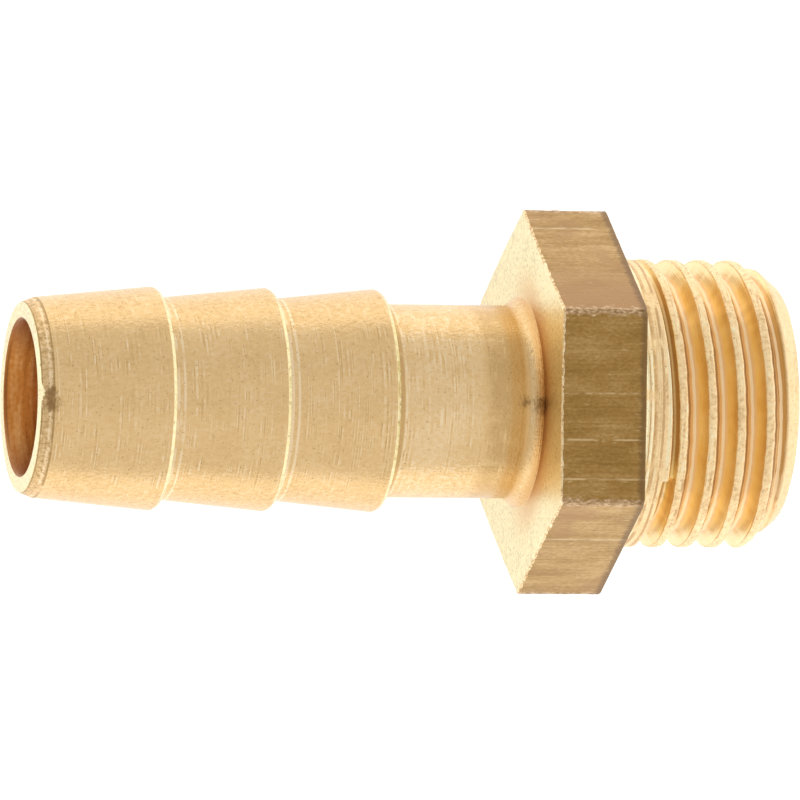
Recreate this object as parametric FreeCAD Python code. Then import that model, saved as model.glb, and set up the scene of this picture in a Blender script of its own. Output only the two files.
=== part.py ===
import FreeCAD
import Part
import math
import os

# Hose barb tail: one brass piece, turned and threaded from drawn hexagon bar
# Sizes are in millimetres and angles in degrees
# The turning axis is X, from the hose end to the threaded end
# X = 0 is the sealing shoulder, the face of the hexagon on the thread side
# +Z is square to one flat of the hexagon, and the opposite flat faces down

# Bore, right through
BORE_DIAMETER = 6.9
BORE_EDGE_BREAK = 0.1

# Mouth of the hose end
MOUTH_DIAMETER = 8.5
TIP_DIAMETER = 8.96
TIP_BREAK_LENGTH = 0.57

# Barbs, each a cone that rises away from the mouth and ends in a square step with its edge broken
FIRST_BARB_LENGTH = 6.04
SECOND_BARB_LENGTH = 5.22
LAST_BARB_LENGTH = 5.0
BARB_CREST_DIAMETER = 10.0
BARB_FOOT_DIAMETER = 8.98
BARB_BREAK_LENGTH = 0.2
BARB_BREAK_DEPTH = 0.12

# Plain neck and the flare at its root
NECK_DIAMETER = 8.67
NECK_LENGTH = 6.0
ROOT_FLARE = 0.41
ROOT_FLARE_LENGTH = 0.6

# Hexagon: the front face is turned slightly conical, the back corners are broken
HEX_ACROSS_FLATS = 15.0
HEX_THICKNESS = 3.9
HEX_FRONT_ANGLE = 2.0
HEX_CORNER_BREAK = 0.1
HEX_BREAK_ANGLE = 30.0

# Pipe thread G 1/4, parallel and right-hand, its crests at the lower end of their tolerance
THREAD_LENGTH = 7.65
THREAD_DIAMETER = 12.98
THREAD_ROOT_DIAMETER = 11.445
THREAD_PITCH = 1.337
THREAD_FLANK_ANGLE = 27.5
THREAD_ROOT_WIDTH = 0.17
END_CHAMFER_LENGTH = 1.3
END_FACE_DIAMETER = 10.86

# Thread run-out at the shoulder: the groove rises out of the metal on a short cone
PLAIN_COLLAR_LENGTH = 1.38
RUN_OUT_LENGTH = 0.5

# Distance from the shoulder to the middle of the first full groove, along the top
FIRST_GROOVE = 2.7

# How far a cutting tool reaches past the surface it cuts
TOOL_REACH = 0.3

ORIGIN = FreeCAD.Vector(0, 0, 0)
AXIS = FreeCAD.Vector(1, 0, 0)

# Places along the axis, worked out from the shoulder towards the hose end
bore_radius = BORE_DIAMETER / 2
crest_radius = BARB_CREST_DIAMETER / 2
foot_radius = BARB_FOOT_DIAMETER / 2
neck_radius = NECK_DIAMETER / 2
flare_radius = neck_radius + ROOT_FLARE
hex_corner_radius = HEX_ACROSS_FLATS / 2 / math.cos(math.radians(30))
thread_radius = THREAD_DIAMETER / 2
thread_root_radius = THREAD_ROOT_DIAMETER / 2

hex_front_x = -HEX_THICKNESS
front_slope = math.tan(math.radians(HEX_FRONT_ANGLE))
flare_end_x = hex_front_x - (HEX_ACROSS_FLATS / 2 - flare_radius) * front_slope
neck_end_x = flare_end_x - ROOT_FLARE_LENGTH
last_crest_x = neck_end_x - NECK_LENGTH
second_crest_x = last_crest_x - LAST_BARB_LENGTH
first_crest_x = second_crest_x - SECOND_BARB_LENGTH
hose_end_x = first_crest_x - FIRST_BARB_LENGTH
thread_end_x = THREAD_LENGTH


def turned(outline):
    """Solid of revolution about the axis, from a closed outline of (x, radius) points."""
    points = [FreeCAD.Vector(x, 0, radius) for x, radius in outline]
    face = Part.Face(Part.makePolygon(points + points[:1]))
    return face.revolve(ORIGIN, AXIS, 360)


def barbs():
    """Outline of the barbs from the mouth to the start of the neck."""
    outline = [
        (hose_end_x, MOUTH_DIAMETER / 2),
        (hose_end_x + TIP_BREAK_LENGTH, TIP_DIAMETER / 2),
    ]
    steps = [(first_crest_x, foot_radius), (second_crest_x, foot_radius), (last_crest_x, neck_radius)]
    for crest_x, step_radius in steps:
        outline += [
            (crest_x - BARB_BREAK_LENGTH, crest_radius),
            (crest_x, crest_radius - BARB_BREAK_DEPTH),
            (crest_x, step_radius),
        ]
    return outline


def turned_blank():
    """Hose tail and thread blank in one, before the hexagon, the bore and the thread."""
    outline = [(hose_end_x, 0)]
    outline += barbs()
    outline += [
        (neck_end_x, neck_radius),
        (flare_end_x, flare_radius),
        (0, thread_radius),
        (thread_end_x - END_CHAMFER_LENGTH, thread_radius),
        (thread_end_x, END_FACE_DIAMETER / 2),
        (thread_end_x, 0),
    ]
    return turned(outline)


def hexagon():
    """Spanner hexagon, cut from the bar and faced on both sides."""
    reach = hex_corner_radius + TOOL_REACH
    corners = []
    for number in range(6):
        angle = math.radians(60 * number)
        y = hex_corner_radius * math.cos(angle)
        z = hex_corner_radius * math.sin(angle)
        corners.append(FreeCAD.Vector(flare_end_x, y, z))
    face = Part.Face(Part.makePolygon(corners + corners[:1]))
    bar = face.extrude(FreeCAD.Vector(-flare_end_x, 0, 0))
    broken_radius = hex_corner_radius - HEX_CORNER_BREAK
    break_depth = (reach - broken_radius) * math.tan(math.radians(HEX_BREAK_ANGLE))
    faced = turned(
        [
            (flare_end_x, 0),
            (flare_end_x, flare_radius),
            (hex_front_x + (reach - HEX_ACROSS_FLATS / 2) * front_slope, reach),
            (-break_depth, reach),
            (0, broken_radius),
            (0, 0),
        ]
    )
    return bar.common(faced)


def bore():
    """Through bore with a small break at each mouth."""
    break_radius = bore_radius + BORE_EDGE_BREAK
    return turned(
        [
            (hose_end_x - TOOL_REACH, 0),
            (hose_end_x - TOOL_REACH, break_radius + TOOL_REACH),
            (hose_end_x + BORE_EDGE_BREAK, bore_radius),
            (thread_end_x - BORE_EDGE_BREAK, bore_radius),
            (thread_end_x + TOOL_REACH, break_radius + TOOL_REACH),
            (thread_end_x + TOOL_REACH, 0),
        ]
    )


def thread_groove():
    """Helical groove of the thread, which starts on the top and turns right-handed along the axis."""
    reach_radius = thread_radius + TOOL_REACH
    root_half = THREAD_ROOT_WIDTH / 2
    flank_slope = math.tan(math.radians(THREAD_FLANK_ANGLE))
    mouth_half = root_half + (reach_radius - thread_root_radius) * flank_slope
    start_x = FIRST_GROOVE - 2 * THREAD_PITCH
    turns = math.ceil((thread_end_x - start_x) / THREAD_PITCH) + 1
    corners = [
        FreeCAD.Vector(thread_root_radius, 0, -root_half),
        FreeCAD.Vector(reach_radius, 0, -mouth_half),
        FreeCAD.Vector(reach_radius, 0, mouth_half),
        FreeCAD.Vector(thread_root_radius, 0, root_half),
    ]
    section = Part.makePolygon(corners + corners[:1])
    helix = Part.makeLongHelix(THREAD_PITCH, turns * THREAD_PITCH, thread_root_radius)
    groove = Part.Wire(helix.Edges).makePipeShell([section], True, True)
    # The helix is made about Z from the +X side, and this half turn lays it along X from the top
    groove.rotate(ORIGIN, FreeCAD.Vector(1, 0, 1), 180)
    groove.translate(FreeCAD.Vector(start_x, 0, 0))
    return groove.cut(run_out_guard(start_x, reach_radius))


def run_out_guard(start_x, reach_radius):
    """Space that the thread tool leaves alone: all that lies between the shoulder and the run-out cone."""
    run_out_slope = RUN_OUT_LENGTH / (thread_radius - thread_root_radius)
    low_radius = thread_root_radius - TOOL_REACH
    high_radius = reach_radius + TOOL_REACH
    return turned(
        [
            (start_x - THREAD_PITCH, low_radius),
            (start_x - THREAD_PITCH, high_radius),
            (PLAIN_COLLAR_LENGTH - (high_radius - thread_radius) * run_out_slope, high_radius),
            (PLAIN_COLLAR_LENGTH + (thread_radius - low_radius) * run_out_slope, low_radius),
        ]
    )


def hose_barb_tail():
    """The finished fitting."""
    body = turned_blank().fuse(hexagon())
    body = body.cut(bore())
    body = body.cut(thread_groove())
    return body.removeSplitter().Solids[0]


os.makedirs("parts", exist_ok=True)
hose_barb_tail().exportStep("parts/hose_barb_tail.step")
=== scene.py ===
import math

import bpy
import numpy as np
from mathutils import Matrix, Vector


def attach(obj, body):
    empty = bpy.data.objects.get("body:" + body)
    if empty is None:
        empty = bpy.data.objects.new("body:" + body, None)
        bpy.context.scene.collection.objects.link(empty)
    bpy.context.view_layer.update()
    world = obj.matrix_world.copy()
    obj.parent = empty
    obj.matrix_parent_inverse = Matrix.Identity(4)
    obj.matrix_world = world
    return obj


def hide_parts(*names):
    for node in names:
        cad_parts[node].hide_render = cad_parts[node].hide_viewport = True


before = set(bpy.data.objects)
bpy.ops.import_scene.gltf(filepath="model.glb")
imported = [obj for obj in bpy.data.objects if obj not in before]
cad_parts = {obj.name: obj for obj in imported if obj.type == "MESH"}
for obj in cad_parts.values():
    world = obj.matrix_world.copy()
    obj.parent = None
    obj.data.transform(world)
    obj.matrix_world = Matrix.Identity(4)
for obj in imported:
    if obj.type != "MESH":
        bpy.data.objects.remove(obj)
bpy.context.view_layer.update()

# Lengths below are in millimetres, as in the part's source, and angles in degrees
# The turning axis is X, X = 0 is the shoulder of the hexagon, and +Z is up
MM = 0.001
SEED = 7

# Hexagon
HALF_FLATS = 7.5
HEX_FRONT_X = -3.9
HEX_FRONT_SLOPE = math.tan(math.radians(2.0))
HEX_CORNER_ROUND = 0.12
HEX_BREAK_RADIUS = 8.56
HEX_BREAK_SLOPE = math.tan(math.radians(30.0))
HEX_EDGE = 0.08
HEX_EDGE_SPREAD = 0.05
BACK_EDGE = 0.05
BACK_EDGE_SPREAD = 0.02
CORNER_WEAR = 0.03

# Tail
BORE_RADIUS = 3.45
BORE_BREAK = 0.1
MOUTH_RADIUS = 4.25
TIP_RADIUS = 4.48
TIP_LENGTH = 0.57
BARB_LENGTHS = (6.04, 5.22, 5.0)
CREST_RADIUS = 5.0
CREST_BREAK_LENGTH = 0.17
CREST_BREAK_DEPTH = 0.08
FOOT_RADIUS = 4.49
NECK_RADIUS = 4.335
NECK_LENGTH = 6.0
FLARE_RADIUS = 4.745
FLARE_LENGTH = 0.6
CREST_WEAR = 0.02
TIP_WEAR = 0.006

# Mesh of the tail: usual distance between rings, plain and torn, and what rounds each corner
RING_SPACING = 0.7
TORN_SPACING = 0.09
ROUND_STEPS = 3
ROUND_SUPPORT = 0.05

# Places along the tail, worked out from the hexagon towards the hose end
FLARE_END_X = HEX_FRONT_X - (HALF_FLATS - FLARE_RADIUS) * HEX_FRONT_SLOPE
NECK_END_X = FLARE_END_X - FLARE_LENGTH
LAST_CREST_X = NECK_END_X - NECK_LENGTH
SECOND_CREST_X = LAST_CREST_X - BARB_LENGTHS[2]
FIRST_CREST_X = SECOND_CREST_X - BARB_LENGTHS[1]
HOSE_END_X = FIRST_CREST_X - BARB_LENGTHS[0]
CREST_X = (FIRST_CREST_X, SECOND_CREST_X, LAST_CREST_X)

# Thread, with the smooth turns that join its surfaces
THREAD_END_X = 7.65
THREAD_RADIUS = 6.49
ROOT_RADIUS = 5.7225
PITCH = 1.337
ROOT_HALF = 0.1
FLANK_SLOPE = math.tan(math.radians(27.5))
FIRST_GROOVE = 2.7
ROOT_ROUND = 0.07
CREST_ROUND = 0.05
EDGE_ROUND = 0.03
LAND_WEAR = 0.014

# Ragged edges of the thread's lands: how far they wander, and the part of a turn between two values
WANDER = 0.02
WANDER_STEP = 0.009

# Lead chamfer at the threaded end
END_RADIUS = 5.43
END_CHAMFER = 1.3
CHAMFER_START_X = THREAD_END_X - END_CHAMFER
CHAMFER_SLOPE = (THREAD_RADIUS - END_RADIUS) / END_CHAMFER
CHAMFER_WEAR = 0.05

# Run-out: the groove's end follows the helix as a narrow ledge and then opens at the wider stop
COLLAR_JOIN_X = 1.0
STOP_X = 1.3
LEDGE_X = 1.46
LEDGE_DEGREES = (-30.0, 0.0, 121.0, 122.2)
RUN_OUT_SLOPE = 0.5
FIRST_LAND_X = 1.6

# Fine tool ridges on the collar: mean depth, the pitches of two waves and where they fade out
RIDGE_DEPTH = 0.02
RIDGE_PITCHES = (0.23, 0.142)
RIDGE_END_X = 1.5
RIDGE_FADE = 0.2

# Knock at the edge of the mouth: its place along and across the axis, its reach and its push
KNOCK = (HOSE_END_X + 0.036, 0.32)
KNOCK_REACH = 0.32
KNOCK_PUSH = 0.13
KNOCK_INNER_RADIUS = BORE_RADIUS + 0.4

# Brown stains near the tip, and a painted dark reflection across the neck and the flare: a point of the
# surface and how far each reaches from it
STAINS_AND_DARK_REFLECTION = (
    ((HOSE_END_X + 0.396, 0.3, 4.4), 0.42),
    ((HOSE_END_X + 0.456, -0.2, 4.4), 0.45),
    # The last two are a painted dark reflection across the neck and the flare
    ((HEX_FRONT_X - 0.85, 0.1, 4.5), 0.4),
    ((HEX_FRONT_X - 0.1, 0.0, 4.8), 0.6),
)

# Lighter and darker rings: place along the axis, half width and strength. Most are left by the tools;
# some on the tail and the collar are painted light and shade
TAIL_TOOL_AND_SHADE_RINGS = []
for crest_x in (FIRST_CREST_X, SECOND_CREST_X):
    TAIL_TOOL_AND_SHADE_RINGS += [(crest_x + 0.16, 0.09, 0.6), (crest_x + 0.45, 0.07, 0.6)]
TAIL_TOOL_AND_SHADE_RINGS += [
    # Painted shadow at the foot of the last crest's step, then a tool ring
    (LAST_CREST_X + 0.24, 0.11, -1.6),
    (LAST_CREST_X + 0.42, 0.07, 0.4),
    # Painted light along the middle of the neck and painted shade nearer the hexagon
    (HEX_FRONT_X - 4.6, 2.4, 0.18),
    (HEX_FRONT_X - 1.7, 1.1, -0.45),
]
TIP_RINGS = [
    (HOSE_END_X + 0.04, 0.06, -1.2),
    (HOSE_END_X + 0.406, 0.08, 0.4),
    (HOSE_END_X + 0.566, 0.06, -0.8),
]
# On the collar the rings are tool rings and the painted highlights and shade of its ridges
COLLAR_TOOL_AND_HIGHLIGHT_RINGS = [
    (0.36, 0.12, 0.7),
    (0.48, 0.04, -0.6),
    (0.58, 0.09, 0.5),
    (0.74, 0.12, -0.45),
    (1.085, 0.08, -0.65),
    (1.39, 0.1, 0.5),
]

# Places across the flats of the scratches that run along them
SCRATCH_Y = (0.6, -1.47, -3.22, 7.84, -6.0)
SCRATCH_HALF = 0.06

# Where colours fade from one to another, along the axis
COLLAR_FADE = (1.7, 1.4)
# The next two are where the painted shade at the groove's ends fades
LEDGE_SHADE_FADE = (2.05, 1.85)
LAST_GROOVE_SHADE_FADE = (THREAD_END_X - 1.45, THREAD_END_X - 0.85)
BACK_EDGE_FADE = (-0.42, -0.16)

# Heights between which the top of a turned surface gives way to its sides, which get a stronger grain and
# a little painted shade
SIDE_FADE = (3.5, 2.4)

# Band of painted warm reflection and shade at the root of the neck: its middle and half width
ROOT_REFLECTION_BAND = (HEX_FRONT_X - 1.05, 0.6)

# Colours of the metals as red, green and blue, each as dark, plain and pale
TURNED_COLOURS = ((0.67, 0.43, 0.185), (0.83, 0.562, 0.268), (0.95, 0.73, 0.45))
FACED_COLOURS = ((0.62, 0.52, 0.28), (0.89, 0.775, 0.44), (0.97, 0.88, 0.6))
TORN_COLOURS = ((0.48, 0.31, 0.13), (0.77, 0.52, 0.25), (0.96, 0.73, 0.45))
BURRED_COLOURS = ((0.55, 0.35, 0.16), (0.92, 0.68, 0.38), (1.0, 0.88, 0.6))
LAND_COLOURS = ((0.66, 0.42, 0.2), (1.0, 0.735, 0.4), (1.0, 0.87, 0.57))
FLANK_COLOURS = ((0.88, 0.56, 0.18), (0.95, 0.65, 0.24), (0.99, 0.73, 0.33))
BORE_COLOURS = ((0.44, 0.15, 0.03), (0.63, 0.24, 0.05), (0.82, 0.42, 0.15))
TOP_FLAT_COLOURS = ((0.27, 0.15, 0.038), (0.377, 0.214, 0.062), (0.51, 0.32, 0.125))
SIDE_FLAT_COLOURS = ((0.365, 0.21, 0.068), (0.475, 0.293, 0.11), (0.595, 0.39, 0.178))
CORNER_COLOURS = ((0.3, 0.17, 0.08), (0.55, 0.36, 0.2), (0.9, 0.66, 0.42))

# Colours mixed into them
# Brown of the stains and of the painted dark reflection
STAIN_AND_REFLECTION_BROWN = (0.3, 0.165, 0.06)
# Painted warm reflection and shade in the corner between the tail and the hexagon
CORNER_REFLECTION_TINT = (0.67, 0.375, 0.125)
CHAMFER_TINT = (0.88, 0.64, 0.36)
# Painted highlights down the sides of the thread and on faces turned towards the threaded end
LOW_FLANK_HIGHLIGHT = (1.0, 0.85, 0.5)
END_FACING_HIGHLIGHT = (1.0, 0.8, 0.5)
# Painted shade at the groove's ends and just below each crest
GROOVE_END_SHADE = (0.6, 0.35, 0.13)
SHADED_FLANK = (0.4, 0.2, 0.065)
# Painted highlight along the groove's root
GROOVE_ROOT_HIGHLIGHT = (0.98, 0.68, 0.37)
LAND_SPECK = (0.4, 0.25, 0.1)
# Painted shade in the bore
BORE_SHADE = (0.24, 0.09, 0.03)
INNER_BORE = (0.7, 0.42, 0.16)
WORN_FLAT = (0.41, 0.228, 0.1)
SCRATCH = (0.8, 0.6, 0.33)
DARK_EDGE = (0.2, 0.115, 0.05)

# Share of the red, green and blue of a metal's dark colour that its specks keep
SPECK_SHARES = (0.55, 0.5, 0.5)

# Camera above the hose end: its distance, its tilt along the axis and across it, and its roll
CAMERA_DISTANCE = 571.3
CAMERA_TILT = 12.44
CAMERA_SIDE = 1.37
CAMERA_ROLL = 0.56
CAMERA_TARGET = (-9.43, 0.04, 0.0)
FOCAL_PIXELS = 12827.0
IMAGE_WIDTH = 800
SENSOR_WIDTH = 36.0

# Half of the floor's side
FLOOR_HALF = 3000.0

# Kinds of surface, in the order of the materials
TURNED, FACED, TORN, BURRED, DRAWN, THREADED, BORED = range(7)


def random_line(rng, start, end, step, amount):
    """Random offset that changes gradually along a line, with a new value at each step."""
    knots = np.arange(start, end + step, step)
    values = rng.uniform(-amount, amount, len(knots))
    return lambda place: np.interp(place, knots, values)


def random_ring(rng, count, amount):
    """Random offset of each column that changes gradually round the axis, with count values in a turn."""
    values = rng.uniform(-amount, amount, count)
    return np.interp(ANGLES, np.linspace(0, 2 * math.pi, count + 1), np.append(values, values[0]))


def smooth_min(a, b, width):
    """The lower of two heights, with the crossing rounded over that width."""
    h = np.clip(0.5 + 0.5 * (b - a) / width, 0, 1)
    return b * (1 - h) + a * h - width * h * (1 - h)


def smooth_max(a, b, width):
    """The higher of two heights, with the crossing rounded over that width."""
    return -smooth_min(-a, -b, width)


def column_angles():
    """Angles of the mesh columns, from +Y towards +Z, closer together at the corners of the hexagon."""
    near = [0.0, 0.22, 0.45, 0.7]
    side = near + list(np.linspace(1.1, 58.9, 50)) + [60 - a for a in reversed(near[1:])]
    return np.radians([60 * corner + a for corner in range(6) for a in side])


ANGLES = column_angles()
COLUMNS = len(ANGLES)


def level(value):
    """The same value for each column."""
    return np.full(COLUMNS, float(value))


def hexagon_radius():
    """Distance from the axis to the hexagon's outline at each column, with rounded corners."""
    from_corner = (ANGLES + math.pi / 6) % (math.pi / 3) - math.pi / 6
    flat = HALF_FLATS / np.cos(math.pi / 6 - np.abs(from_corner))
    centre = (HALF_FLATS - HEX_CORNER_ROUND) / math.cos(math.pi / 6)
    inside = np.maximum(HEX_CORNER_ROUND ** 2 - (centre * np.sin(from_corner)) ** 2, 0)
    rounded = centre * np.cos(from_corner) + np.sqrt(inside)
    on_arc = np.abs(centre * np.sin(from_corner)) < HEX_CORNER_ROUND / 2
    return np.where(on_arc, np.minimum(flat, rounded), flat)


def rounded_outline(corners):
    """Points of an outline of (x, radius, blend, kind) corners, each rounded over its blend length.

    Each point keeps the kind of the corner that it follows.
    """
    points = [(np.array(corners[0][:2]), corners[0][3])]
    for before, corner, after in zip(corners, corners[1:], corners[2:]):
        here = np.array(corner[:2])
        back = np.array(before[:2]) - here
        ahead = np.array(after[:2]) - here
        back_length = np.hypot(*back)
        ahead_length = np.hypot(*ahead)
        blend = corner[2]
        back = back / back_length
        ahead = ahead / ahead_length
        reach = blend + ROUND_SUPPORT
        if back_length > 4 * reach:
            points.append((here + back * reach, before[3]))
        for t in np.linspace(0, 1, ROUND_STEPS + 1):
            kind = before[3] if t < 0.5 else corner[3]
            points.append((here + back * blend * (1 - t) ** 2 + ahead * blend * t ** 2, kind))
        if ahead_length > 4 * reach:
            points.append((here + ahead * reach, corner[3]))
    points.append((np.array(corners[-1][:2]), corners[-1][3]))
    return points


def tail_corners():
    """Corners of the tail's outline, from the bore's edge at the hose end to the end of the flare."""
    corners = [
        (HOSE_END_X + BORE_BREAK, BORE_RADIUS, 0, BORED),
        (HOSE_END_X, BORE_RADIUS + BORE_BREAK, 0.04, FACED),
        (HOSE_END_X, MOUTH_RADIUS, 0.06, TORN),
        (HOSE_END_X + TIP_LENGTH, TIP_RADIUS, 0.08, TURNED),
    ]
    for crest_x, step_radius in zip(CREST_X, (FOOT_RADIUS, FOOT_RADIUS, NECK_RADIUS)):
        corners += [
            (crest_x - CREST_BREAK_LENGTH, CREST_RADIUS, 0.05, FACED),
            (crest_x, CREST_RADIUS - CREST_BREAK_DEPTH, 0.02, TURNED),
            (crest_x, step_radius, 0.05, TURNED),
        ]
    corners += [
        (NECK_END_X, NECK_RADIUS, 0.12, TURNED),
        (FLARE_END_X, FLARE_RADIUS, 0, FACED),
    ]
    return corners


def tail_rings(rng):
    """Rings of the tail, with a torn tip, a knock at the mouth and slightly uneven crests."""
    points = rounded_outline(tail_corners())
    tip_end = HOSE_END_X + TIP_LENGTH
    crest_wear = [np.abs(random_ring(rng, 140, CREST_WEAR)) for _ in CREST_X]
    knock_x, knock_y = KNOCK
    knock_push = KNOCK_PUSH * (1 + random_ring(rng, COLUMNS, 0.9))
    rings = []
    for (start, kind), (end, _) in zip(points, points[1:]):
        spacing = TORN_SPACING if kind == TORN else RING_SPACING
        parts = max(1, round(np.hypot(*(end - start)) / spacing))
        for part in range(parts):
            x, radius = start + (end - start) * part / parts
            ring_x = level(x)
            ring_radius = level(radius)
            if HOSE_END_X < x < tip_end and radius > MOUTH_RADIUS:
                ring_radius += random_ring(rng, 200, TIP_WEAR) - TIP_WEAR
            for crest_x, wear in zip(CREST_X, crest_wear):
                if crest_x - 0.9 * CREST_BREAK_LENGTH < x <= crest_x and radius > FOOT_RADIUS + 0.2:
                    ring_radius -= wear
            across = radius * np.cos(ANGLES)
            distance = ((ring_x - knock_x) ** 2 + (across - knock_y) ** 2) / KNOCK_REACH ** 2
            on_top = (np.sin(ANGLES) > 0) & (radius > KNOCK_INNER_RADIUS)
            ring_x += np.where(on_top, knock_push * np.exp(-distance), 0)
            rings.append((ring_x, ring_radius, kind))
    return rings


def hex_front_x(radius):
    """Place along the axis of the hexagon's conical front face."""
    return HEX_FRONT_X + (radius - HALF_FLATS) * HEX_FRONT_SLOPE


def hex_back_x(radius):
    """Place along the axis of the hexagon's back face, with its broken corners."""
    return -np.maximum(radius - HEX_BREAK_RADIUS, 0) * HEX_BREAK_SLOPE


def hexagon_rings(rng):
    """Rings over the hexagon's front face, its flats and its back face, up to the foot of the collar."""
    outline = hexagon_radius()
    rings = []
    inset = HEX_EDGE + random_ring(rng, COLUMNS, HEX_EDGE_SPREAD)
    for share in (0, 0.04, 0.2, 0.4, 0.6, 0.8, 0.95):
        radius = FLARE_RADIUS + (outline - inset - FLARE_RADIUS) * share
        rings.append((hex_front_x(radius), radius, FACED))
    depth = HEX_EDGE + random_ring(rng, COLUMNS, HEX_EDGE_SPREAD)
    rings.append((hex_front_x(outline - inset), outline - inset, BURRED))
    rings.append((hex_front_x(outline) + 0.25 * depth, outline - 0.3 * inset, BURRED))
    start = hex_front_x(outline) + depth
    end = hex_back_x(outline) - BACK_EDGE
    worn = outline > HEX_BREAK_RADIUS - 0.05
    rings.append((start, outline - 0.01, DRAWN))
    for share in np.linspace(0.02, 0.98, 18):
        wear = np.where(worn, rng.uniform(0, CORNER_WEAR, COLUMNS), 0)
        rings.append((start + (end - start) * share, outline - wear, DRAWN))
    back_inset = BACK_EDGE + random_ring(rng, 190, BACK_EDGE_SPREAD)
    rings.append((end, outline - 0.01, DRAWN))
    rings.append((end + 0.7 * BACK_EDGE, outline - 0.3 * back_inset, DRAWN))
    rings.append((end + BACK_EDGE, outline - back_inset, FACED))
    for share in (0.1, 0.5, 0.9):
        radius = outline - back_inset + (THREAD_RADIUS - outline + back_inset) * share
        rings.append((hex_back_x(radius), radius, FACED))
    return rings


def collar_ridge(x):
    """Height of the collar's surface, 0 or less, with tool ridges that end where the thread starts."""
    coarse, fine = [2 * math.pi * x / pitch for pitch in RIDGE_PITCHES]
    wave = 0.6 * np.sin(coarse) + 0.4 * np.sin(fine + 1.0)
    fade = np.clip((RIDGE_END_X - x) / RIDGE_FADE, 0, 1) * np.clip(x / 0.05, 0, 1)
    return RIDGE_DEPTH * (wave - 1) * fade


def collar_rings():
    """Rings of the plain collar up to the start of the thread's rows."""
    places = np.linspace(0, COLLAR_JOIN_X, 26)
    return [(level(x), THREAD_RADIUS + collar_ridge(level(x)), THREADED) for x in places]


def run_out_start():
    """Place along the axis where the groove may start, at each column."""
    degrees = (np.degrees(ANGLES) + 180) % 360 - 180
    ledge = LEDGE_X + PITCH * (degrees - 90) / 360
    on_ledge = np.interp(degrees, LEDGE_DEGREES, (0, 1, 1, 0))
    return ledge * on_ledge + STOP_X * (1 - on_ledge)


def thread_height(x, phase, start, chamfer_shift):
    """Radius of the threaded end, with phase measured from the middle of a groove."""
    crest = THREAD_RADIUS + collar_ridge(x)
    flank = ROOT_RADIUS + (np.abs(phase) - ROOT_HALF) / FLANK_SLOPE
    groove = smooth_min(smooth_max(flank, level(ROOT_RADIUS), ROOT_ROUND), crest, CREST_ROUND)
    guard = THREAD_RADIUS - (x - start) / RUN_OUT_SLOPE
    cut = np.minimum(smooth_max(groove, guard, EDGE_ROUND), crest)
    chamfer = THREAD_RADIUS - (x - CHAMFER_START_X + chamfer_shift) * CHAMFER_SLOPE
    return smooth_min(cut, chamfer, EDGE_ROUND)


def thread_rows(rng):
    """Rows that follow the thread's helix, held between the collar and the end face."""
    beside = [0.05, 0.09, 0.15, 0.27, 0.39, 0.44, 0.475, 0.51, 0.58]
    phases = [-phase for phase in reversed(beside)] + [0.0] + beside + [PITCH / 2]
    first = math.floor((COLLAR_JOIN_X - FIRST_GROOVE) / PITCH) - 1
    last = math.ceil((THREAD_END_X - FIRST_GROOVE) / PITCH) + 1
    left_edge = random_line(rng, first - 2, last + 3, WANDER_STEP, WANDER)
    right_edge = random_line(rng, first - 2, last + 3, WANDER_STEP, WANDER)
    start = run_out_start()
    chamfer_shift = np.abs(random_ring(rng, 70, CHAMFER_WEAR))
    rows = []
    for turn in range(first, last + 1):
        turns = turn + ANGLES / (2 * math.pi)
        middle = FIRST_GROOVE + PITCH * (turns - 0.25)
        for phase in phases:
            x = np.clip(middle + phase, COLLAR_JOIN_X, THREAD_END_X)
            shift = np.floor((x - middle) / PITCH + 0.5)
            local = x - middle - shift * PITCH
            wander = np.where(local < 0, left_edge(turns + shift), right_edge(turns + shift))
            radius = thread_height(x, np.abs(local) + wander, start, chamfer_shift)
            free = (x > COLLAR_JOIN_X) & (x < THREAD_END_X)
            torn = free & (radius > THREAD_RADIUS - 0.1) & (x > FIRST_LAND_X)
            radius = radius - np.where(torn, rng.uniform(0, LAND_WEAR, COLUMNS), 0)
            rows.append((x, radius, THREADED))
    return rows, len(phases)


def bore_rings():
    """Rings of the end face and the bore, back to the hose end."""
    rings = []
    for radius in (5.3, 4.4, BORE_RADIUS + BORE_BREAK + 0.03):
        rings.append((level(THREAD_END_X), level(radius), FACED))
    rings.append((level(THREAD_END_X), level(BORE_RADIUS + BORE_BREAK), BORED))
    for x in np.linspace(THREAD_END_X - BORE_BREAK, HOSE_END_X + BORE_BREAK, 14)[:-1]:
        rings.append((level(x), level(BORE_RADIUS), BORED))
    return rings


def ring_points(rings):
    """Vertices of rings or rows, as an array of (ring, column, xyz)."""
    x = np.array([ring[0] for ring in rings])
    radius = np.array([ring[1] for ring in rings])
    return np.stack([x, radius * np.cos(ANGLES), radius * np.sin(ANGLES)], -1)


def welded_mesh(name, points, quads, kinds):
    """Mesh of the quads with equal points joined and collapsed faces left out."""
    keys = np.round(points * 1e4).astype(np.int64)
    _, first, inverse = np.unique(keys, axis=0, return_index=True, return_inverse=True)
    inverse = inverse.reshape(-1)
    faces = []
    face_kinds = []
    for quad, kind in zip(inverse[quads].tolist(), kinds.tolist()):
        loop = [v for k, v in enumerate(quad) if v != quad[k - 1]]
        if len(loop) > 2 and len(set(loop)) == len(loop):
            faces.append(loop)
            face_kinds.append(kind)
    mesh = bpy.data.meshes.new(name)
    mesh.from_pydata((points[first] * MM).tolist(), [], faces)
    mesh.polygons.foreach_set("material_index", np.array(face_kinds, np.int32))
    mesh.polygons.foreach_set("use_smooth", np.ones(len(faces), bool))
    mesh.update()
    return mesh


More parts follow.
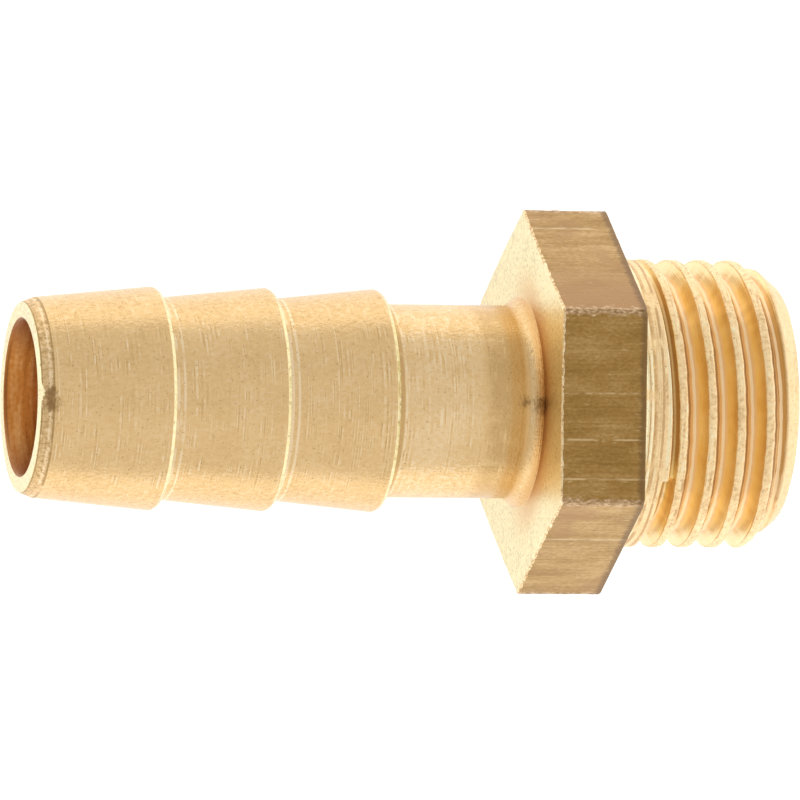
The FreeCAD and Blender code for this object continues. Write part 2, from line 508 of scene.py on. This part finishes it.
def fitting_mesh():
    """The whole fitting as one closed mesh."""
    rng = np.random.RandomState(SEED)
    rings = tail_rings(rng) + hexagon_rings(rng) + collar_rings()
    rows, rows_per_turn = thread_rows(rng)
    bore = bore_rings()
    points = np.concatenate([ring_points(part).reshape(-1, 3) for part in (rings, rows, bore)])
    rows_start = len(rings) * COLUMNS
    bore_start = rows_start + len(rows) * COLUMNS
    columns = np.arange(COLUMNS)
    after = (columns + 1) % COLUMNS
    wraps = (after == 0).astype(int)
    quads = []
    kinds = []

    def ring(start, number):
        """A closed ring, whose last column is followed by its own first."""
        return lambda column, wrap: start + number * COLUMNS + column

    def helix(number):
        """A row of the thread. Past its last column it goes on as the row one turn later."""
        return lambda column, wrap: (
            rows_start + np.clip(number + wrap * rows_per_turn, 0, len(rows) - 1) * COLUMNS + column
        )

    def join(row_a, row_b, kind):
        """Quads of one kind all the way round between two rows."""
        corners = [row_a(columns, 0), row_a(after, wraps), row_b(after, wraps), row_b(columns, 0)]
        quads.append(np.stack(corners, -1))
        kinds.append(level(kind).astype(int))

    for number in range(len(rings) - 1):
        join(ring(0, number), ring(0, number + 1), rings[number][2])
    join(ring(0, len(rings) - 1), helix(0), THREADED)
    for number in range(len(rows) - 1):
        join(helix(number), helix(number + 1), THREADED)
    join(helix(len(rows) - 1), ring(bore_start, 0), FACED)
    for number in range(len(bore) - 1):
        join(ring(bore_start, number), ring(bore_start, number + 1), bore[number][2])
    join(ring(bore_start, len(bore) - 1), ring(0, 0), BORED)
    return welded_mesh("brass_fitting", points, np.concatenate(quads), np.concatenate(kinds))


# Material helpers


def add(tree, kind, values=(), **settings):
    """Adds a node and sets its properties.

    Values go to its inputs by number or name, and are linked where they are sockets.
    """
    made = tree.nodes.new(kind)
    for name, setting in settings.items():
        setattr(made, name, setting)
    pairs = values.items() if isinstance(values, dict) else enumerate(values)
    for key, value in pairs:
        if isinstance(value, bpy.types.NodeSocket):
            tree.links.new(value, made.inputs[key])
        elif value is not None:
            made.inputs[key].default_value = value
    return made


def math_node(tree, operation, *values):
    """Result of one operation on sockets and numbers."""
    return add(tree, "ShaderNodeMath", values, operation=operation).outputs[0]


def noise(tree, vector, scale, detail=2.0, roughness=0.5):
    """Noise with a frequency of its own along each axis, in cells per millimetre."""
    mapped = add(tree, "ShaderNodeMapping", {"Vector": vector, "Scale": scale}).outputs[0]
    values = {"Vector": mapped, "Scale": 1.0, "Detail": detail, "Roughness": roughness}
    return add(tree, "ShaderNodeTexNoise", values).outputs[0]


def ramp(tree, value, low, high, smooth=True):
    """Share from 0 to 1 of the way from one value to another, clamped."""
    kind = "SMOOTHSTEP" if smooth else "LINEAR"
    values = (value, low, high, 0.0, 1.0)
    return add(tree, "ShaderNodeMapRange", values, interpolation_type=kind).outputs[0]


def weighed(tree, start, *terms):
    """Start value plus each term's distance from 0.5 times its weight."""
    total = start - 0.5 * sum(weight for _, weight in terms)
    for value, weight in terms:
        total = math_node(tree, "MULTIPLY_ADD", value, weight, total)
    return total


def band(tree, value, middle, half):
    """1 within a narrow band of values and 0 outside it, with soft edges."""
    away = math_node(tree, "ABSOLUTE", math_node(tree, "SUBTRACT", value, middle))
    return ramp(tree, away, half, 0.4 * half)


def product(tree, *values):
    """All values multiplied."""
    total = values[0]
    for value in values[1:]:
        total = math_node(tree, "MULTIPLY", total, value)
    return total


def highest(tree, *values):
    """The highest of all values."""
    total = values[0]
    for value in values[1:]:
        total = math_node(tree, "MAXIMUM", total, value)
    return total


def mixed(tree, factor, colour_a, colour_b):
    """Colour on the way from one to another, each a socket or its red, green and blue."""
    made = tree.nodes.new("ShaderNodeMix")
    made.data_type = "RGBA"
    tree.links.new(factor, made.inputs[0])
    for socket, colour in ((made.inputs[6], colour_a), (made.inputs[7], colour_b)):
        if isinstance(colour, bpy.types.NodeSocket):
            tree.links.new(colour, socket)
        else:
            socket.default_value = (*colour, 1)
    return made.outputs[2]


def graded(tree, value, dark, plain, pale):
    """Colour that runs from dark at 0 through plain at 0.5 to pale at 1."""
    darker = mixed(tree, ramp(tree, value, 0.5, 0.0, smooth=False), plain, dark)
    return mixed(tree, ramp(tree, value, 0.5, 1.0, smooth=False), darker, pale)


def empty_tree(owner):
    """Node tree of a material or a world, with nothing in it."""
    owner.use_nodes = True
    owner.node_tree.nodes.clear()
    return owner.node_tree


def new_metal(name):
    """Metal material with nothing on it yet, its node tree and its shader."""
    material = bpy.data.materials.new(name)
    tree = empty_tree(material)
    shader = add(tree, "ShaderNodeBsdfPrincipled", {"Metallic": 1.0})
    add(tree, "ShaderNodeOutputMaterial", (shader.outputs[0],))
    return material, tree, shader


def surface_place(tree):
    """Place on the object in millimetres, its three parts and the distance from the turning axis."""
    metres = tree.nodes.new("ShaderNodeTexCoord").outputs["Object"]
    place = add(tree, "ShaderNodeVectorMath", {0: metres, "Scale": 1 / MM}, operation="SCALE").outputs[0]
    x, y, z = add(tree, "ShaderNodeSeparateXYZ", (place,)).outputs
    across = add(tree, "ShaderNodeCombineXYZ", (0.0, y, z)).outputs[0]
    radius = add(tree, "ShaderNodeVectorMath", {0: across}, operation="LENGTH").outputs["Value"]
    return place, x, y, z, radius


def add_bump(tree, shader, *layers):
    """Stacks bump layers of (height, distance in millimetres) on the shader's normal."""
    normal = None
    for height, distance in layers:
        values = {"Strength": 1.0, "Distance": distance * MM, "Height": height, "Normal": normal}
        normal = add(tree, "ShaderNodeBump", values).outputs[0]
    tree.links.new(normal, shader.inputs["Normal"])


def tool_lines(tree, x, y, z, radius):
    """Broken circular tool lines, as a height and as painted shading with a lit and a shaded side to
    each.
    """
    along = math_node(tree, "MULTIPLY_ADD", radius, 1.7, x)
    beside = math_node(tree, "ADD", along, 0.06)
    here = add(tree, "ShaderNodeCombineXYZ", (along, y, z)).outputs[0]
    shifted = add(tree, "ShaderNodeCombineXYZ", (beside, y, z)).outputs[0]
    height = noise(tree, here, (7.5, 0.06, 0.06), roughness=0.6)
    next_height = noise(tree, shifted, (7.5, 0.06, 0.06), roughness=0.6)
    zone = ramp(tree, noise(tree, here, (1.8, 0.75, 0.75), detail=1.0), 0.4, 0.66)
    breaks = ramp(tree, noise(tree, here, (4.0, 1.8, 1.8)), 0.4, 0.58)
    # Painted shading: the slope between two nearby heights gives each line a lit and a shaded side
    side = math_node(tree, "SUBTRACT", height, next_height)
    return height, math_node(tree, "MULTIPLY_ADD", side, product(tree, zone, breaks), 0.5)


def ringed(tree, place, x, shade, rings):
    """Adds lighter or darker rings to a shade, each broken here and there: tool rings, and painted light
    and shade.
    """
    breaks = ramp(tree, noise(tree, place, (0.5, 0.8, 0.8)), 0.3, 0.5)
    for ring_x, half, strength in rings:
        ring = product(tree, band(tree, x, ring_x, half), breaks)
        shade = math_node(tree, "MULTIPLY_ADD", ring, strength, shade)
    return shade


def add_stains_and_dark_reflection(tree, place, colour):
    """Adds the brown stains near the tip and the painted dark reflection across the neck and the flare,
    with ragged edges.
    """
    ragged = noise(tree, place, (7, 3, 3), detail=3.0, roughness=0.65)
    for point, reach in STAINS_AND_DARK_REFLECTION:
        to_point = add(tree, "ShaderNodeVectorMath", {0: place, 1: point}, operation="DISTANCE")
        away = math_node(tree, "DIVIDE", to_point.outputs["Value"], reach)
        away = math_node(tree, "ADD", away, weighed(tree, 0.0, (ragged, -1.8)))
        share = product(tree, ramp(tree, away, 1.0, 0.2), 0.92)
        colour = mixed(tree, share, colour, STAIN_AND_REFLECTION_BROWN)
    return colour


def painted_corner_reflection(tree, x, z, radius):
    """How near a place is to the corner between the tail and the hexagon's face, from 0 to 1, where a
    warm reflection and shade are painted.
    """
    beside_flare = ramp(tree, radius, 6.7, FLARE_RADIUS)
    on_face = product(tree, beside_flare, band(tree, x, HEX_FRONT_X, 0.5), ramp(tree, z, -2, 3))
    return highest(tree, on_face, band(tree, x, *ROOT_REFLECTION_BAND))


# Materials


def turned_brass(
    name, colours, roughness, grain, side_grain, lines, specks, bump, rings=(), corner_reflection_share=0.0
):
    """Brass with circular tool lines that carry painted shading, a grain that is stronger down the sides,
    where the colour also gets a little painted shade, and small dark specks.

    The last argument is how strongly a warm reflection and shade are painted into the corner between the
    tail and the hexagon.
    """
    material, tree, shader = new_metal(name)
    place, x, y, z, radius = surface_place(tree)
    height, painted_line_relief = tool_lines(tree, x, y, z, radius)
    fine = noise(tree, place, (4.5, 5.5, 5.5), detail=3.0, roughness=0.65)
    broad = noise(tree, place, (0.5, 0.5, 0.5))
    side = ramp(tree, z, *SIDE_FADE)
    line_share = math_node(tree, "MULTIPLY_ADD", side, -0.6, 1.0)
    # The tool lines' painted shading goes into the colour, weaker down the sides
    marks = product(tree, weighed(tree, 0.0, (painted_line_relief, lines)), line_share)
    even_grain = weighed(tree, 0.0, (fine, grain), (broad, 0.35))
    # Down the sides the grain is stronger and the colour is painted a little darker as shade
    side_grain_and_shade = product(tree, side, weighed(tree, -0.12, (fine, side_grain - grain)))
    shade = math_node(tree, "ADD", math_node(tree, "ADD", marks, 0.5), even_grain)
    shade = math_node(tree, "ADD", shade, side_grain_and_shade)
    shade = ringed(tree, place, x, shade, rings)
    colour = graded(tree, shade, *colours)
    dots = noise(tree, place, (9, 9, 9), detail=1.0)
    speck_colour = [part * share for part, share in zip(colours[0], SPECK_SHARES)]
    colour = mixed(tree, product(tree, ramp(tree, dots, 0.66, 0.74), specks), colour, speck_colour)
    # Painted warm reflection and shade in the corner by the hexagon
    corner_reflection_mask = product(tree, painted_corner_reflection(tree, x, z, radius), corner_reflection_share)
    colour = mixed(tree, corner_reflection_mask, colour, CORNER_REFLECTION_TINT)
    # Stains near the tip and a painted dark reflection across the neck and the flare
    colour = add_stains_and_dark_reflection(tree, place, colour)
    tree.links.new(colour, shader.inputs["Base Color"])
    tree.links.new(weighed(tree, roughness, (fine, 0.12), (broad, 0.1)), shader.inputs["Roughness"])
    add_bump(tree, shader, (height, 0.5 * bump), (fine, bump), (dots, 0.3 * bump))
    return material


def land_colour(tree, place, x, painted_line_relief, fine, broad):
    """Colour of the thread's lands: pale torn metal, with less grain on the collar and more rings there,
    tool rings with the highlights and shade of its ridges painted in.
    """
    on_collar = ramp(tree, x, *COLLAR_FADE)
    grain_share = math_node(tree, "MULTIPLY_ADD", on_collar, -0.6, 1.0)
    grain = product(tree, weighed(tree, 0.0, (fine, 1.7)), grain_share)
    # The tool lines' painted shading goes into the lands' colour
    shade = math_node(tree, "ADD", grain, weighed(tree, 0.5, (painted_line_relief, 2.5), (broad, 0.7)))
    # Tool rings and painted highlights and shade on the collar
    shade = ringed(tree, place, x, shade, COLLAR_TOOL_AND_HIGHLIGHT_RINGS)
    land = graded(tree, shade, *LAND_COLOURS)
    on_chamfer = ramp(tree, x, CHAMFER_START_X + 0.1, CHAMFER_START_X + 0.25)
    return mixed(tree, product(tree, on_chamfer, 0.5), land, CHAMFER_TINT)


def groove_colour(tree, x, y, z, radius, fine, broad):
    """Colour inside the thread's groove: golden flanks, with painted highlights down the sides, along the
    root and on faces turned towards the threaded end, and painted shade at both ends and on the flank
    just below each crest.
    """
    flank = graded(tree, weighed(tree, 0.5, (broad, 2.2), (fine, 0.5)), *FLANK_COLOURS)
    # Painted highlight down the sides of the thread
    flank = mixed(tree, product(tree, ramp(tree, z, 3.4, 2.4), 0.6), flank, LOW_FLANK_HIGHLIGHT)
    # Painted highlight along the root
    at_root = ramp(tree, radius, ROOT_RADIUS + 0.2, ROOT_RADIUS + 0.1)
    colour = mixed(tree, at_root, flank, GROOVE_ROOT_HIGHLIGHT)
    normal = tree.nodes.new("ShaderNodeTexCoord").outputs["Normal"]
    normal_x = add(tree, "ShaderNodeSeparateXYZ", (normal,)).outputs[0]
    # Painted highlight on faces turned towards the threaded end
    colour = mixed(tree, ramp(tree, normal_x, 0.15, 0.5), colour, END_FACING_HIGHLIGHT)
    # Painted shade on the run-out ledge and in the last groove
    slanted = math_node(tree, "MULTIPLY_ADD", y, 0.35, z)
    ledge = product(tree, ramp(tree, x, *LEDGE_SHADE_FADE), ramp(tree, slanted, 4.2, 5.2))
    facing_tail = ramp(tree, normal_x, -0.2, -0.6)
    last_groove_shade = product(tree, ramp(tree, x, *LAST_GROOVE_SHADE_FADE), facing_tail, ramp(tree, z, 2.6, 3.8))
    colour = mixed(tree, product(tree, highest(tree, ledge, last_groove_shade), 0.8), colour, GROOVE_END_SHADE)
    # Painted shade on the flank just below each crest
    facing_end = ramp(tree, normal_x, 0.7, 0.86)
    near_crest = ramp(tree, radius, ROOT_RADIUS + 0.24, ROOT_RADIUS + 0.42)
    return mixed(tree, product(tree, facing_end, near_crest, 0.85), colour, SHADED_FLANK)


def threaded_brass(name):
    """Thread and collar: rough pale lands and a smoother golden groove between them."""
    material, tree, shader = new_metal(name)
    place, x, y, z, radius = surface_place(tree)
    height, painted_line_relief = tool_lines(tree, x, y, z, radius)
    fine = noise(tree, place, (5, 5, 5), detail=3.0, roughness=0.7)
    broad = noise(tree, place, (0.7, 0.7, 0.7))
    chamfer_base = THREAD_RADIUS + CHAMFER_START_X * CHAMFER_SLOPE
    chamfer = math_node(tree, "MULTIPLY_ADD", x, -CHAMFER_SLOPE, chamfer_base)
    envelope = math_node(tree, "MINIMUM", chamfer, THREAD_RADIUS)
    on_land = ramp(tree, math_node(tree, "SUBTRACT", envelope, radius), 0.12, 0.05)
    land = land_colour(tree, place, x, painted_line_relief, fine, broad)
    groove = groove_colour(tree, x, y, z, radius, fine, broad)
    colour = mixed(tree, on_land, groove, land)
    dots = noise(tree, place, (8, 8, 8), detail=1.0)
    speck = product(tree, ramp(tree, dots, 0.68, 0.76), on_land, 0.6)
    colour = mixed(tree, speck, colour, LAND_SPECK)
    tree.links.new(colour, shader.inputs["Base Color"])
    tree.links.new(math_node(tree, "MULTIPLY_ADD", on_land, 0.08, 0.34), shader.inputs["Roughness"])
    grain = product(tree, fine, math_node(tree, "MULTIPLY_ADD", on_land, 0.8, 0.2))
    add_bump(tree, shader, (height, 0.012), (grain, 0.05))
    return material


def bored_brass(name):
    """Bore: dark orange-brown metal with circular marks, and painted shade at the mouth's rim, a little
    way in and down its sides.
    """
    material, tree, shader = new_metal(name)
    place, x, y, _, _ = surface_place(tree)
    streaks = noise(tree, place, (3.5, 0.25, 0.25), detail=3.0, roughness=0.6)
    fine = noise(tree, place, (5, 5, 5))
    colour = graded(tree, weighed(tree, 0.5, (streaks, 2.2), (fine, 0.8)), *BORE_COLOURS)
    # Painted shade at the mouth's rim, a little way in and down the sides
    mouth_shade = product(tree, ramp(tree, x, HOSE_END_X + 0.19, HOSE_END_X + 0.12), 0.6)
    inside = product(tree, ramp(tree, x, HOSE_END_X + 1.0, HOSE_END_X + 1.5), 0.3)
    beside = product(tree, ramp(tree, math_node(tree, "ABSOLUTE", y), 1.5, 3.1), 0.75)
    colour = mixed(tree, highest(tree, mouth_shade, inside, beside), colour, BORE_SHADE)
    colour = mixed(tree, ramp(tree, x, HOSE_END_X + 1.5, HOSE_END_X + 3), colour, INNER_BORE)
    tree.links.new(colour, shader.inputs["Base Color"])
    tree.links.new(weighed(tree, 0.42, (streaks, 0.2)), shader.inputs["Roughness"])
    add_bump(tree, shader, (streaks, 0.02), (fine, 0.01))
    return material


def flat_colour(tree, place, y, z, shade):
    """Colour of the hexagon's flats: olive brown on top, paler and in places rosy down the sides."""
    top = graded(tree, shade, *TOP_FLAT_COLOURS)
    side = graded(tree, weighed(tree, 0.5, (shade, 1.5)), *SIDE_FLAT_COLOURS)
    rosy = ramp(tree, noise(tree, place, (0.4, 0.4, 0.4)), 0.5, 0.62)
    rubbed = product(tree, ramp(tree, z, 3.0, 7.0), ramp(tree, y, 0, 1))
    worn = product(tree, highest(tree, product(tree, rosy, 0.55), rubbed), 0.9)
    side = mixed(tree, worn, side, WORN_FLAT)
    return mixed(tree, ramp(tree, z, HALF_FLATS - 0.01, HALF_FLATS - 0.1), top, side)


def drawn_brass(name):
    """Dull bar skin: fine streaks and scratches along the axis, worn corners and dark back edges."""
    material, tree, shader = new_metal(name)
    place, x, y, z, radius = surface_place(tree)
    streaks = noise(tree, place, (0.22, 9, 9), detail=4.0, roughness=0.65)
    broad = noise(tree, place, (0.3, 0.9, 0.9), detail=3.0, roughness=0.6)
    grain = noise(tree, place, (5, 8, 8), roughness=0.6)
    shade = weighed(tree, 0.5, (streaks, 1.0), (broad, 1.5), (grain, 1.1))
    colour = flat_colour(tree, place, y, z, shade)
    flecks = noise(tree, place, (2.2, 7, 7), detail=1.0)
    fleck = product(tree, ramp(tree, flecks, 0.68, 0.78), 0.6)
    broken = ramp(tree, noise(tree, place, (1.2, 5, 5)), 0.36, 0.56)
    scratch = highest(tree, *[band(tree, y, scratch_y, SCRATCH_HALF) for scratch_y in SCRATCH_Y])
    light = highest(tree, product(tree, scratch, broken), fleck)
    colour = mixed(tree, product(tree, light, 0.55), colour, SCRATCH)
    ragged = noise(tree, place, (3.0, 5, 5), detail=3.0, roughness=0.65)
    ragged_radius = weighed(tree, 0.5, (ragged, 0.3), (radius, 1.0))
    corner = ramp(tree, ragged_radius, HEX_BREAK_RADIUS - 0.06, HEX_BREAK_RADIUS + 0.02)
    corner_colour = graded(tree, weighed(tree, 0.5, (grain, 2.6)), *CORNER_COLOURS)
    colour = mixed(tree, product(tree, corner, 0.8), colour, corner_colour)
    back = ramp(tree, weighed(tree, 0.5, (ragged, 0.5), (x, 1.0)), *BACK_EDGE_FADE)
    colour = mixed(tree, product(tree, back, 0.75), colour, DARK_EDGE)
    tree.links.new(colour, shader.inputs["Base Color"])
    tree.links.new(weighed(tree, 0.36, (grain, 0.25), (streaks, 0.15)), shader.inputs["Roughness"])
    add_bump(tree, shader, (streaks, 0.02), (grain, 0.02), (light, 0.01))
    return material


materials = [
    turned_brass(
        "brass_turned", TURNED_COLOURS, roughness=0.27, grain=0.8, side_grain=2.0,
        lines=2.9, specks=0.5, bump=0.02, rings=TAIL_TOOL_AND_SHADE_RINGS, corner_reflection_share=0.75,
    ),
    turned_brass(
        "brass_faced", FACED_COLOURS, roughness=0.3, grain=1.5, side_grain=1.8,
        lines=1.0, specks=0.75, bump=0.02, corner_reflection_share=0.85,
    ),
    turned_brass(
        "brass_torn", TORN_COLOURS, roughness=0.4, grain=2.3, side_grain=2.6,
        lines=2.0, specks=0.8, bump=0.04, rings=TIP_RINGS,
    ),
    turned_brass(
        "brass_burred", BURRED_COLOURS, roughness=0.4, grain=3.0, side_grain=3.0,
        lines=0.0, specks=0.9, bump=0.05,
    ),
    drawn_brass("brass_drawn"),
    threaded_brass("brass_threaded"),
    bored_brass("brass_bored"),
]

# The fitting

mesh = fitting_mesh()
for material in materials:
    mesh.materials.append(material)
fitting = bpy.data.objects.new("brass_fitting", mesh)
bpy.context.scene.collection.objects.link(fitting)
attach(fitting, "root")
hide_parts("hose_barb_tail")

# Floor, light and camera


def pale_floor():
    """Pale table top that gives some light of its own."""
    material = bpy.data.materials.new("pale_floor")
    tree = empty_tree(material)
    diffuse = add(tree, "ShaderNodeBsdfDiffuse", {"Color": (0.6, 0.6, 0.6, 1)})
    glow = add(tree, "ShaderNodeEmission", {"Color": (1, 1, 1, 1), "Strength": 0.8})
    total = add(tree, "ShaderNodeAddShader", (diffuse.outputs[0], glow.outputs[0]))
    add(tree, "ShaderNodeOutputMaterial", (total.outputs[0],))
    return material


floor_mesh = bpy.data.meshes.new("floor")
floor_sides = [(-1, -1), (1, -1), (1, 1), (-1, 1)]
floor_corners = [(x * FLOOR_HALF * MM, y * FLOOR_HALF * MM, -HALF_FLATS * MM) for x, y in floor_sides]
floor_mesh.from_pydata(floor_corners, [], [(0, 1, 2, 3)])
floor_mesh.materials.append(pale_floor())
floor = bpy.data.objects.new("floor", floor_mesh)
bpy.context.scene.collection.objects.link(floor)


def studio_world():
    """Soft white room: brighter beyond the threaded end and darker behind the hose end."""
    world = bpy.data.worlds.new("studio")
    bpy.context.scene.world = world
    tree = empty_tree(world)
    direction = tree.nodes.new("ShaderNodeTexCoord").outputs["Generated"]
    x, y, _ = add(tree, "ShaderNodeSeparateXYZ", (direction,)).outputs
    strength = 0.8
    areas = (
        (ramp(tree, x, 0.45, 0.85), 0.45),
        (ramp(tree, x, -0.35, -0.75), -0.12),
        (ramp(tree, y, 0, -0.5), 0.06),
        (band(tree, y, 0.656, 0.16), -0.06),
        (band(tree, y, 0, 0.1), -0.03),
    )
    for share, change in areas:
        strength = math_node(tree, "MULTIPLY_ADD", share, change, strength)
    background = add(tree, "ShaderNodeBackground", {"Color": (1, 1, 1, 1), "Strength": strength})
    add(tree, "ShaderNodeOutputWorld", (background.outputs[0],))


def photo_camera():
    """Camera above the fitting, tipped towards the hose end, as in the photograph."""
    tilt = math.radians(CAMERA_TILT)
    side = math.radians(CAMERA_SIDE)
    roll = math.radians(CAMERA_ROLL)
    lift = CAMERA_DISTANCE * math.cos(tilt)
    away = CAMERA_DISTANCE * math.sin(tilt)
    place = Vector((HOSE_END_X - away, lift * math.sin(side), lift * math.cos(side)))
    forward = (Vector(CAMERA_TARGET) - place).normalized()
    along = Vector((1, 0, 0))
    right = (along - forward * along.dot(forward)).normalized()
    up = right.cross(forward)
    rolled_right = right * math.cos(roll) + up * math.sin(roll)
    rolled_up = up * math.cos(roll) - right * math.sin(roll)
    data = bpy.data.cameras.new("camera")
    data.sensor_width = SENSOR_WIDTH
    data.lens = FOCAL_PIXELS / IMAGE_WIDTH * SENSOR_WIDTH
    data.clip_start = 0.01
    data.clip_end = 10
    camera = bpy.data.objects.new("camera", data)
    turn = Matrix((rolled_right, rolled_up, -forward)).transposed().to_4x4()
    camera.matrix_world = Matrix.Translation(place * MM) @ turn
    bpy.context.scene.collection.objects.link(camera)
    bpy.context.scene.camera = camera


studio_world()
bpy.context.scene.view_settings.view_transform = "Standard"
photo_camera()

bpy.context.view_layer.update()
